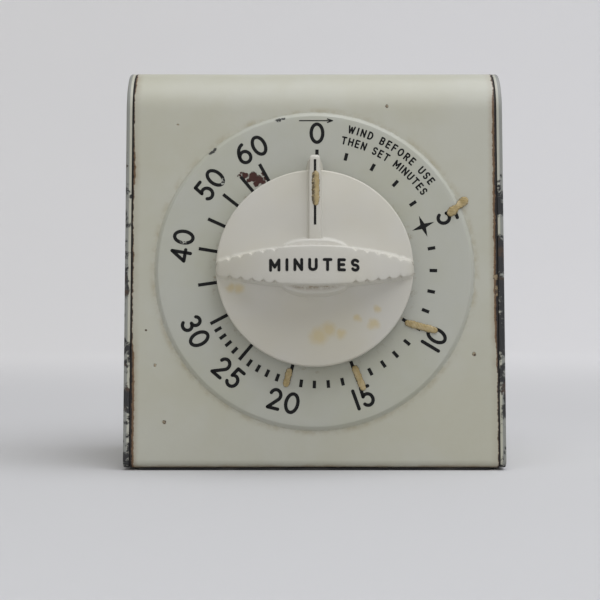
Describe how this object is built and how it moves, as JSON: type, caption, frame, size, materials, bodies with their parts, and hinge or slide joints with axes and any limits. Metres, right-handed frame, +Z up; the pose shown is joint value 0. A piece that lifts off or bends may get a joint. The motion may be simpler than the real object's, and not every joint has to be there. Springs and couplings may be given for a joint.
{
  "type": "interval timer",
  "caption": "Free-standing wind-up interval timer: wrapped sheet-metal case with a leaning front, raised minute dial, gripped setting knob with pointer, and a geared bell movement inside.",
  "frame": {"origin": "on the table under the middle of the case's base, at the underside of the base pad", "axes": "+Z up, -Y out of the dial's side, +X to the right of a viewer facing the dial"},
  "size_m": [0.0968, 0.0783, 0.1029],
  "materials": {
    "case_enamel": "aged cream-white stove enamel, semi-gloss, worn at its edges",
    "dial_enamel": "aged white enamel, semi-gloss",
    "knob_plastic": "moulded ivory-white, satin gloss",
    "glow_paste": "aged tan paste, matt and brittle",
    "print_ink": "printed black ink",
    "case_steel": "plated steel, dull",
    "pad_rubber": "black, matt",
    "movement_brass": "satin brass",
    "movement_steel": "polished steel",
    "blued_spring": "blued spring steel",
    "bell_steel": "plated bell steel"
  },
  "bodies": {
    "root": {"case_wrap": "case_enamel", "side_cover_left": "case_enamel", "side_cover_right": "case_enamel", "cover_screws": "case_steel", "base_plate": "case_steel", "base_screws": "case_steel", "base_pad": "pad_rubber", "dial_plate": "dial_enamel", "marker_05": "glow_paste", "marker_10": "glow_paste", "marker_15": "glow_paste", "marker_20": "glow_paste", "movement_screws": "movement_steel", "movement_posts": "movement_steel", "front_plate": "movement_brass", "back_plate": "movement_brass", "plate_pillars": "movement_brass", "pillar_nuts": "movement_brass", "mainspring": "blued_spring", "hairspring": "blued_spring", "hairspring_stud": "movement_brass", "bell": "bell_steel", "bell_post": "movement_brass", "bell_screw": "movement_steel", "bell_washer": "movement_brass", "hammer_spring": "blued_spring"},
    "setting_knob": {"knob": "knob_plastic", "knob_clip": "movement_steel", "pointer_marker": "glow_paste", "main_arbor": "movement_steel", "great_wheel": "movement_brass", "ratchet_wheel": "movement_steel", "click": "movement_steel", "click_spring": "blued_spring", "click_rivet": "movement_brass", "trip_cam": "movement_brass"},
    "second_mobile": {"second_arbor": "movement_steel", "second_wheel": "movement_brass"},
    "third_mobile": {"third_arbor": "movement_steel", "third_wheel": "movement_brass"},
    "escape_mobile": {"escape_arbor": "movement_steel", "escape_wheel": "movement_brass"},
    "pallet": {"pallet_arbor": "movement_steel", "pallet_lever": "movement_steel", "pallet_pins": "movement_steel"},
    "balance": {"balance_staff": "movement_steel", "balance_wheel": "movement_brass", "balance_roller": "movement_steel", "hairspring_collet": "movement_brass"},
    "hammer": {"hammer_arbor": "movement_steel", "trip_lever": "movement_steel", "hammer_arm": "movement_steel", "hammer_head": "movement_steel"}
  },
  "joints": [
    {"name": "knob_turn", "type": "hinge", "parent": "root", "child": "setting_knob", "pos_m": [0, -0.00765, 0.04886], "axis": [0, 0.9962, -0.0872], "range_deg": [0, 331.5]},
    {"name": "second_turn", "type": "hinge", "parent": "root", "child": "second_mobile", "pos_m": [0.0084, -0.00892, 0.03436], "axis": [0, 0.9962, -0.0872], "range_deg": [-1989, 0]},
    {"name": "third_turn", "type": "hinge", "parent": "root", "child": "third_mobile", "pos_m": [0.0195, -0.00847, 0.03952], "axis": [0, 0.9962, -0.0872], "range_deg": [0, 11934]},
    {"name": "escape_turn", "type": "hinge", "parent": "root", "child": "escape_mobile", "pos_m": [0.01768, -0.00756, 0.04982], "axis": [0, 0.9962, -0.0872], "range_deg": [-71604, 0]},
    {"name": "balance_swing", "type": "hinge", "parent": "root", "child": "balance", "pos_m": [0.00621, -0.00589, 0.06901], "axis": [0, 0.9962, -0.0872], "range_deg": [-20, 20], "stiffness_Nm_per_rad": 0.0002},
    {"name": "pallet_rock", "type": "hinge", "parent": "root", "child": "pallet", "pos_m": [0.01366, -0.00681, 0.0584], "axis": [0, 0.9962, -0.0872], "range_deg": [-3.5, 3.5]},
    {"name": "hammer_swing", "type": "hinge", "parent": "root", "child": "hammer", "pos_m": [-0.015, -0.00691, 0.05733], "axis": [0, 0.9962, -0.0872], "range_deg": [0, 14], "stiffness_Nm_per_rad": 0.002, "springref_deg": -5.73}
  ],
  "couplings": [
    {"joint": "second_turn", "follows": "knob_turn", "ratio": -6},
    {"joint": "third_turn", "follows": "knob_turn", "ratio": 36},
    {"joint": "escape_turn", "follows": "knob_turn", "ratio": -216},
    {"joint": "pallet_rock", "follows": "balance_swing", "ratio": -0.17117}
  ]
}
